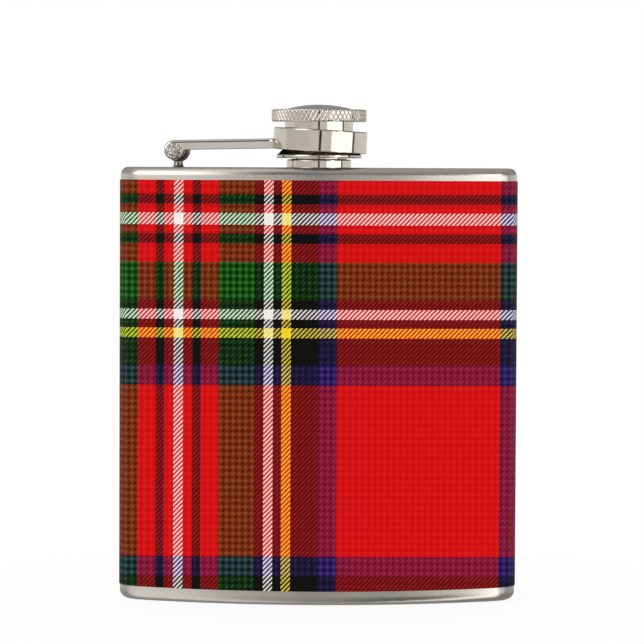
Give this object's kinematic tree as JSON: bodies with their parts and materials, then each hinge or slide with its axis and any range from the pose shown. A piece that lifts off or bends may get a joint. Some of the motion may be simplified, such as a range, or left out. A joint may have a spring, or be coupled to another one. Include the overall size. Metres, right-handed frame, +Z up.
{
  "type": "hip flask",
  "caption": "Curved stainless steel hip flask in a tartan wrap, with a knurled screw cap captive in the collar of a hinged arm.",
  "frame": {"origin": "bottom centre of the whole object's box, on the surface that it stands on", "axes": "+Z up along the neck; X across the width, with the hinge towards -X; the convex front faces -Y"},
  "size_m": [0.0944, 0.0248, 0.1173],
  "materials": {
    "brushed_body": "satin brushed",
    "tartan_vinyl": "semi-gloss printed vinyl",
    "polished_fittings": "polished",
    "dark_lug": "tumbled",
    "seal": "matte"
  },
  "bodies": {
    "flask": {"body_shell": "brushed_body", "shoulder_plate": "brushed_body", "base_plate": "brushed_body", "vinyl_wrap": "tartan_vinyl", "threaded_neck": "polished_fittings", "hinge_lug": "dark_lug"},
    "arm": {"swing_arm": "polished_fittings", "hinge_rivet": "polished_fittings"},
    "seal": {"cap_gasket": "seal"},
    "cap": {"cap_head": "polished_fittings", "cap_bush": "polished_fittings"}
  },
  "joints": [
    {"name": "arm_swing", "type": "hinge", "parent": "flask", "child": "arm", "pos_m": [-0.03395, 0.00294, 0.1065], "axis": [-0.1219, -0.9925, 0], "range_deg": [0, 180]},
    {"name": "cap_lift", "type": "slide", "parent": "arm", "child": "seal", "axis": [0, 0, 1], "range_m": [0, 0.0034]},
    {"name": "cap_spin", "type": "hinge", "parent": "seal", "child": "cap", "pos_m": [0, -0.00122, 0.11], "axis": [0, 0, 1], "range_deg": [0, 720]}
  ],
  "couplings": [
    {"joint": "cap_lift", "follows": "cap_spin", "m_per_rad": 0.00027056}
  ]
}
